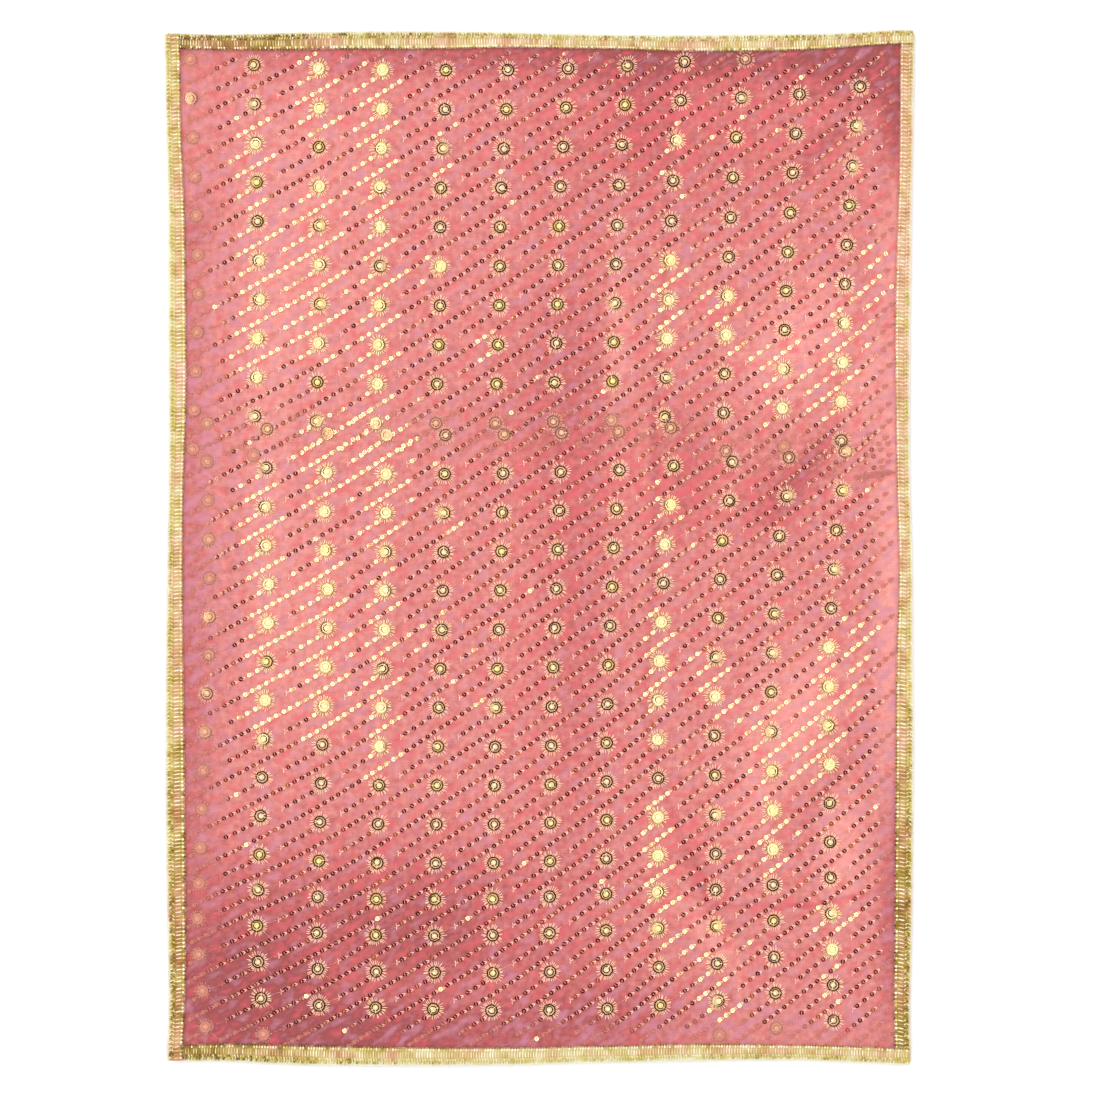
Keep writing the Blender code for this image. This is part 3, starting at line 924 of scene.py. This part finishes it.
def make_cloth(motif_x, motif_y, motif_veil):
    """The cloth: a thin closed shell of two grids joined at the rim. Its shade, painted shade and light
    in its colour, is the sum of the soft patches, of the creases, and of a small pucker to the right of
    each rosette."""
    columns, lengthwise = 166, 228
    half_width, half_length = WIDTH / 2 - TAPE_OVERHANG, LENGTH / 2 - TAPE_OVERHANG
    x, y = np.meshgrid(
        np.linspace(-half_width, half_width, columns),
        np.linspace(-half_length, half_length, lengthwise),
        indexing="ij",
    )
    shade, hue = (sum(amount * patch(x, y, *oval) for *oval, amount in rows) for rows in (TONE_AND_PAINTED_SHADE, HUES))
    for number, darker, fuller in CREASE_PAINTED_SHADE:
        crease = crease_profile(x, y, *CREASES[number][1:])
        shade, hue = shade + darker * crease, hue + fuller * crease
    right, up, *oval, darker = PUCKER_PAINTED_SHADE
    for near_x, near_y, veiled in zip(motif_x / MM, motif_y / MM, motif_veil):
        shade += darker * (1 - veiled) * patch(x, y, near_x + right, near_y + up, *oval)
    layers = np.stack([laid(x, y, SHELL_FOOT), laid(x, y, SHELL_TOP)])
    index = np.arange(layers[..., 0].size).reshape(2, columns, lengthwise)
    top, foot = index[1], index[0]
    over = [top[:-1, :-1], top[1:, :-1], top[1:, 1:], top[:-1, 1:]]
    under = [foot[:-1, 1:], foot[1:, 1:], foot[1:, :-1], foot[:-1, :-1]]
    low, high = (
        np.concatenate([layer[:-1, 0], layer[-1, :-1], layer[:0:-1, -1], layer[0, :0:-1]])
        for layer in (foot, top)
    )
    rim = [low, np.roll(low, -1), np.roll(high, -1), high]
    faces = [np.stack([c.ravel() for c in quad], -1) for quad in (over, under, rim)]
    uv = np.stack([x / WIDTH + 0.5, y / LENGTH + 0.5], -1).reshape(-1, 2)
    shade, hue = (np.tile(layer.ravel(), 2) for layer in (shade, hue))
    values = {"shade": SHADE_LEVEL + SHADE_GAIN * shade, "hue": hue}
    points, uv = layers.reshape(-1, 3), np.tile(uv, (2, 1))
    cloth = add_piece("georgette_cloth", points, faces, georgette(), "coral_cloth", values, uv)
    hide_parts("cloth_panel")
    return cloth


def in_both_parts(column, row):
    """The same places in the upper and in the lower part of the pattern: columns, rows, parts."""
    column, row = np.broadcast_arrays(column, row)
    return np.tile(column.ravel(), 2), np.tile(row.ravel(), 2), np.repeat([0, 1], column.size)


def rosette_places():
    """Columns, rows, parts and places of the rosettes that fit on the cloth, and their veils."""
    column, row, part = in_both_parts(np.arange(-1.0, LAST + 1)[:, None], np.arange(-1.0, 27))
    x, y = lattice(column, row, part)
    keep = shown(x, y, part, KEEP_OFF * ROSETTE_OUTER)
    veil = straggling(veil_over(x, y, part)[keep])
    return *(values[keep] for values in (column, row, part, x, y)), veil


def long_line_places():
    """Places of the small sequins in the long slanting lines, which pass above the rosettes, with
    the way each line runs there and the veil."""
    steps = np.arange(-1.6, LAST + 1.4, LONG_LINE_PITCH)
    line = np.arange(-3, 38)[:, None]
    column = steps[None, :] + rng.uniform(0, LONG_LINE_PITCH, line.shape)
    column = column + rng.normal(0, LINE_STRAY, column.shape)
    return on_line(*in_both_parts(column, line - column - LONG_LINE_LIFT))


def short_line_places():
    """Places of the small sequins in the short lines between a rosette and the next one up."""
    column, row = np.meshgrid(np.arange(-2.0, LAST + 1), np.arange(-1.0, 29.0))
    columns = column.ravel()[:, None] + SHORT_LINE
    rows = row.ravel()[:, None] - SHORT_LINE + SHORT_LINE_DROP
    return on_line(*in_both_parts(columns + rng.normal(0, LINE_STRAY, columns.shape), rows))


def on_line(column, row, part):
    """Places on the cut, the heading of a line that climbs one row for each column, and veils."""
    x, y = lattice(column, row, part)
    on_x, on_y = lattice(column + 0.05, row - 0.05, part)
    keep = shown(x, y, part, KEEP_OFF * SEQUIN_OUTER)
    heading = np.arctan2(on_y - y, on_x - x)
    return x[keep], y[keep], heading[keep], straggling(veil_over(x, y, part)[keep])


def make_small_sequins(name, x, y, veil):
    """Small ring sequins with their middles under thread: the profile turned, ten-sided."""
    slope, lit = lay_of(x, y, 0.02)
    above = seat(x, y, slope, SEQUIN_OUTER)
    turn = rng.uniform(0, 2 * np.pi, len(x))
    points, faces = turned(x, y, turn, SMALL_SEQUIN, SEQUIN_SIDES, above, slope)
    film = film_of(SMALL_SEQUIN, SEQUIN_SIDES, len(x))
    # A lit sequin takes the palest lot, a gold ring and cream middle: painted glint over its real gloss
    lot = each(np.where(lit, 1.0, 0.82 * rng.random(len(x)) ** 1.5), points)
    values = {"lot": lot, "film": film, "veil": each(veil * (1 - GLINT_CLEARS * lit), points)}
    add_piece(name, points, faces, sequin_film(), "coral_cloth", values)
    return above


def make_sequin_stitches(name, x, y, heading, veil, above, thread):
    """For each small sequin: stitches from its hole over its edge, to one side of the line or to
    both, and a small tick of two legs that meet ahead of it on the line."""
    count = len(x)
    middle = np.stack([x, y], -1)

    def out(angle, radius):
        way = np.stack([np.cos(angle), np.sin(angle)], -1)
        return middle + np.broadcast_to(radius, count)[:, None] * MM * way

    over = heading + np.pi / 2 + rng.normal(0, 0.35, count)
    back = np.where(rng.random(count) < 0.6, 1.75, 0.7)
    side = rng.choice([-1, 1], count)
    ahead = heading - np.radians(rng.normal(8, 5, count))
    tip = out(ahead, 3.1)
    bold = np.interp(x, [-120 * MM, -30 * MM, 160 * MM], [0.26, 0.32, 0.34]) * MM
    hole = above + SEQUIN_CLEARANCE
    parts = [
        stitches(out(over, -0.3 * side), out(over, 1.8 * side), 0.25 * MM, 0.3 * MM, hole, at=[0.45]),
        stitches(out(over, 0.3 * side), out(over, -back * side), 0.25 * MM, 0.3 * MM, hole, at=[0.45]),
        stitches(out(ahead + 0.75, 1.3), tip, bold, 0.25 * MM, SHELL_TOP),
        stitches(out(ahead - 0.70, 1.3), tip, bold, 0.25 * MM, SHELL_TOP),
    ]
    points, faces = joined(parts)
    each_part = [len(part[0]) // count for part in parts]
    low = np.array([-0.3, -0.3, 0.36, 0.36])[:, None]
    # Near the glints the stitches take paler lots: painted light, a glow of the lit sequins
    tone = rng.uniform(low, low + 0.3, (len(parts), count)) + 0.4 * glint_share(x, y)
    each_stitch = np.repeat(each_part, count)
    veils = np.repeat(np.tile(veil, len(parts)), each_stitch)
    values = {"lot": np.repeat(tone.ravel(), each_stitch), "veil": veils}
    add_piece(name, points, faces, thread, "coral_cloth", values)


def make_rosettes(x, y, veil):
    """Rosettes: a large faceted sequin, a smaller one on it, a little off its middle, and a round
    thread knot. Both sequins lean together."""
    slope, lit = lay_of(x, y, 0.028)
    count = len(x)
    above = seat(x, y, slope, ROSETTE_OUTER)
    parts, films = [], []
    for profile, sides, zigzag, astray in (
        (LOWER_SEQUIN, ROSETTE_SIDES, 0.07, 0.0),
        (UPPER_SEQUIN, ROSETTE_SIDES, 0.06, 0.18),
        (KNOT, KNOT_SIDES, 0.0, 0.3),
    ):
        at_x, at_y = x + rng.normal(0, astray, count) * MM, y + rng.normal(0, astray, count) * MM
        turn = rng.uniform(0, 2 * np.pi, count)
        parts.append(turned(at_x, at_y, turn, profile, sides, above, slope, zigzag=zigzag))
        films.append(film_of(profile, sides, count))
    points, faces = joined(parts)
    lot = rng.random(count)
    veils = np.concatenate([each(veil * (1 - GLINT_CLEARS * lit), part[0]) for part in parts])
    lots = np.concatenate([each(lot, part[0]) for part in parts])
    values = {"film": np.concatenate(films), "veil": veils, "lot": lots}
    add_piece("rosettes", points, faces, rosette_film(), "coral_cloth", values)
    return above


def make_rays(x, y, veil, above, thread):
    """The sun-like stitches round each rosette: short straight threads of uneven length, shorter
    where a hem veils them, and two stitches from the knot over its sequins."""
    count = len(x) * RAYS
    angle = np.tile(np.arange(RAYS) * 2 * np.pi / RAYS, len(x))
    angle = angle + each(rng.uniform(0, 1, len(x)), angle) + rng.normal(0, 0.06, count)
    angle = np.concatenate([angle, rng.uniform(0, 2 * np.pi, 2 * len(x))])
    of = np.concatenate([np.repeat(np.arange(len(x)), RAYS), np.tile(np.arange(len(x)), 2)])
    over = np.arange(len(of)) >= count
    way = np.stack([np.cos(angle), np.sin(angle)], -1)
    middle = np.stack([x[of], y[of]], -1)
    inner = np.where(over, 0.4, rng.normal(*RAY_START, len(of)))
    reach = np.where(over, 3.2, rng.normal(*RAY_REACH, len(of)) * (1 - 0.5 * veil[of]))
    starts, ends = (middle + r[:, None] * MM * way for r in (inner, inner + reach))
    foot = np.where(over, above[of] + 0.45 * MM, SHELL_TOP)
    points, faces = stitches(starts, ends, 0.27 * MM, 0.3 * MM, foot)
    # Near the glints the rays take paler lots: painted light, a glow of the lit sequins
    tone = rng.uniform(0.45, 0.95, len(of)) + 0.3 * glint_share(x, y)[of]
    values = {"lot": each(tone, points), "veil": each(0.8 * veil[of], points)}
    add_piece("rosette_rays", points, faces, thread, "coral_cloth", values)


def make_leads(column, row, part, veil, thread):
    """Loose threads: one from each rosette up to the fork where its short line starts, the fork's
    legs, and one down to the long line below."""

    def step(across, down):
        return np.stack(lattice(column + across, row + down, part), -1)

    def fork(across, down):
        return step(0.359, -0.245) + np.array([across, down]) * MM

    count = len(column)
    (up_from, up_to), *_, (down_from, down_to) = rng.normal(0, 0.012, (6, 2, count))
    # Rows: start, end, radius (mm), and the least of its tone
    legs = (
        (step(0.16 + up_from, -0.1), step(0.25, -0.18 + up_to), 0.16, -0.3),
        (step(0.25, -0.18 + up_to), fork(0, 0), 0.17, -0.2),
        (fork(0, 0), fork(-0.5, 1.9), 0.32, 0.3),
        (fork(0, 0), fork(-0.2, -1.8), 0.34, 0.3),
        (fork(0, 0), fork(2.0, 1.1), 0.32, 0.3),
        (step(0.1, 0.13 + down_from), step(0.23, 0.3 + down_to), 0.16, -0.3),
    )
    parts = [stitches(a, b, radius * MM, 0.3 * MM, SHELL_TOP) for a, b, radius, _ in legs]
    points, faces = joined(parts)
    lots = [rng.uniform(low, low + 0.4, count) for *_, low in legs]
    veils = each(np.tile(veil, len(legs)), points)
    values = {"lot": each(np.concatenate(lots), points), "veil": veils}
    add_piece("lead_threads", points, faces, thread, "coral_cloth", values)


def tape_place(edge, size, first_over, last_over):
    """The function that gives a point of a tape its place, from its distance along from the first
    end, its distance in from the outer edge as planned, and its height above the underside."""

    def place(along, inward, above):
        head = np.interp(along, [LAP_END, RAMP_FOOT], [LAP_RISE * first_over, 0])
        tail = np.interp(size - along, [LAP_END, RAMP_FOOT], [LAP_RISE * last_over, 0])
        above = above + TAPE_FOOT + head + tail
        middle = along - size / 2
        inward = inward * smooth_rows(TAPE_WIDTHS[edge], middle) / TAPE_PLAN_WIDTH
        sign = 1 if edge in ("left", "bottom") else -1
        if edge in ("left", "right"):
            return laid(sign * (inward - WIDTH / 2), middle, above)
        return laid(middle, sign * (inward - LENGTH / 2), above)

    return place


def tape_band(place, start, end, pitch):
    """The flat ground of a tape: a thin strip whose inner edge is cut in small scallops. Its last
    values are how much each point belongs to the middle panel, behind the rungs, and to the pale
    outer edge."""
    along = np.arange(start, end, pitch / 3)
    wave = 0.18 * MM * np.cos(along / pitch * 2 * np.pi)
    inward = np.array([-0.15, 1.4, 3.3, 3.5, 6.8, 7.0, 8.3, 8.3, -0.15]) * MM
    height = np.array([0.3, 0.35, 0.35, 0.35, 0.35, 0.35, 0.3, 0.0, 0.0]) * MM
    middle = np.array([0, 0, 0, 1, 1, 0, 0, 0, 0])
    outer = np.array([1, 0, 0, 0, 0, 0, 0, 0, 1])
    edge = np.isin(np.arange(9), (6, 7))
    rings = place(along[:, None], inward + wave[:, None] * edge, height + 0 * along[:, None])
    poles = place(along[[0, -1]], 4.7 * MM, 0.17 * MM)
    points, faces = bodies(rings[None], poles[None])
    parts = (np.concatenate([np.tile(part, len(along)), [0, 0]]) for part in (middle, outer))
    return points, faces, *parts


def tape_beads(place, along, inward, half_along, half_in, half_up, sides=6):
    """Small rounded lumps: a turned half circle, stretched along and across the tape."""
    profile = ((0.0, 2.0), (0.72, 1.7), (1.0, 1.0), (0.72, 0.3), (0.0, 0.0))
    profile = [(radius, height * half_up / MM) for radius, height in profile]
    count = len(along)
    return turned(
        along, np.full(count, inward), np.zeros(count), profile, sides, 0.2 * MM,
        stretch=(half_along / MM, half_in / MM), place=place,
    )


def make_tape(node, edge, first_over, last_over, finishes):
    """One tape, from its outer edge in: pale loops, a band of chevrons, a panel of rungs on a
    darker ground, a line of thread beads, and dark knots with tiny loops."""
    upright = edge in ("left", "right")
    size, pitch = (LENGTH, SIDE_PITCH) if upright else (WIDTH, END_PITCH)
    place = tape_place(edge, size, first_over, last_over)
    start = 0.2 * MM if first_over else TUCK
    end = size - (0.2 * MM if last_over else TUCK)
    along = np.arange(start + pitch / 2, end - pitch / 2, pitch)
    along = along + rng.normal(0, 0.04, along.shape) * pitch
    count = len(along)
    slant = 0.3 if upright else 0.0

    def add(part, points, faces, finish, light, spread, extra=0.0, blush=0.0, number=count):
        far = points[:, 1] if upright else points[:, 0]
        drift = np.array(TAPE_DRIFTS[edge])
        wear_and_painted_gleam, rosy = (np.interp(far, drift[:, 0] * MM, drift[:, k]) for k in (1, 2))
        stray = each(rng.uniform(-0.5, 0.5, number), points)
        lot = light + extra - 0.22 * wear_and_painted_gleam + (0.4 + spread * wear_and_painted_gleam) * stray
        values = {"lot": lot, "rosy": rosy + blush}
        return add_piece(f"{node}_{part}", points, faces, finishes[finish], "gold_lace", values)

    def across(first, last, start_at, end_at):
        begin = np.stack([along + start_at * pitch, np.full(count, first * MM)], -1)
        finish = np.stack([along + end_at * pitch, np.full(count, last * MM)], -1)
        return begin, finish

    def strands(part, rows, finish, light, spread, blush, sides=3, at=(0.5,)):
        spun = [stitches(*across(*row[:4]), *np.array(row[4:]) * MM, place, sides, at) for row in rows]
        add(part, *joined(spun), finish, light, spread, blush=blush, number=len(rows) * count)

    points, faces, middle, outer = tape_band(place, start, end, pitch)
    tone = 0.5 * outer - 0.04 * middle
    band = add("ground", points, faces, "ground", 0.28, 0.0, tone, 0.14 * middle - 0.1, 1)
    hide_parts(node)
    strands("edge_loops", EDGE_LOOPS, "loops", 0.55, 0.3, -0.08)
    strands("chevrons", CHEVRONS, "chevrons", 0.36, 0.9, -0.12, 4, (0.22, 0.78))
    strands("cross_threads", CROSS_THREADS, "chevrons", 0.1, 0.9, -0.06)
    rungs = stitches(*across(3.5, 7.0, 0.0, slant), 0.17 * pitch, 0.3 * MM, 0.5 * MM, place, 4)
    add("rungs", *rungs, "rungs", 0.36, 0.5, blush=-0.02)
    beads = tape_beads(place, along + 0.2 * pitch, 7.65 * MM, 0.32 * pitch, 0.7 * MM, 0.45 * MM)
    add("beads", *beads, "beads", 0.22, 0.9, blush=-0.04)
    knots = tape_beads(place, along + 0.7 * pitch, 8.6 * MM, 0.25 * pitch, 0.55 * MM, 0.4 * MM, 4)
    add("knots", *knots, "knots", 0.1, 0.4, blush=-0.08)
    strands("picots", PICOTS, "rungs", 0.2, 0.5, 0.0)


def make_lace():
    """All four tapes, from the same six finishes."""
    finishes = {key: lace_thread(*row) for key, row in FINISHES.items()}
    for row in TAPES:
        make_tape(*row, finishes)


make_camera()
make_studio()
thread = embroidery_thread()
column, row, part, x, y, veil = rosette_places()
cloth = make_cloth(x, y, veil)
above = make_rosettes(x, y, veil)
make_rays(x, y, veil, above, thread)
make_leads(column, row, part, veil, thread)
for name, places in (("long_line", long_line_places()), ("short_line", short_line_places())):
    x, y, heading, veil = places
    above = make_small_sequins(f"{name}_sequins", x, y, veil)
    make_sequin_stitches(f"{name}_stitches", x, y, heading, veil, above, thread)
make_lace()
